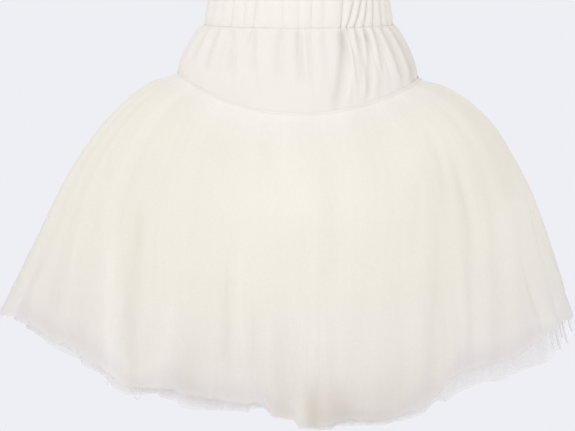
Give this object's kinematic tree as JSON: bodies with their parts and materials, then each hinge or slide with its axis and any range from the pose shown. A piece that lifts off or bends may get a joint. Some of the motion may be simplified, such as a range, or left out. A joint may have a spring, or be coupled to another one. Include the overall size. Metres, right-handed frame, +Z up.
{
  "type": "tulle skirt",
  "caption": "Full puffed skirt of layered gathered tulle on a plain cloth yoke with a gathered elastic waistband, in the shape it takes when worn.",
  "frame": {"origin": "middle of the waistband ring, halfway up its height, where the wearer's waist holds the skirt", "axes": "+Z up, the front faces -Y, +X to the right as seen from the front"},
  "size_m": [0.7561, 0.634, 0.5029],
  "materials": {
    "woven_cloth": "matt plain weave, warm ivory",
    "tulle": "matt see-through net in layers, warm ivory"
  },
  "bodies": {
    "root": {"waistband": "woven_cloth", "yoke_front": "woven_cloth", "yoke_back": "woven_cloth", "tulle_outer_front": "tulle", "tulle_outer_back": "tulle", "tulle_middle_front": "tulle", "tulle_middle_back": "tulle", "tulle_inner_front": "tulle", "tulle_inner_back": "tulle"}
  },
  "joints": []
}
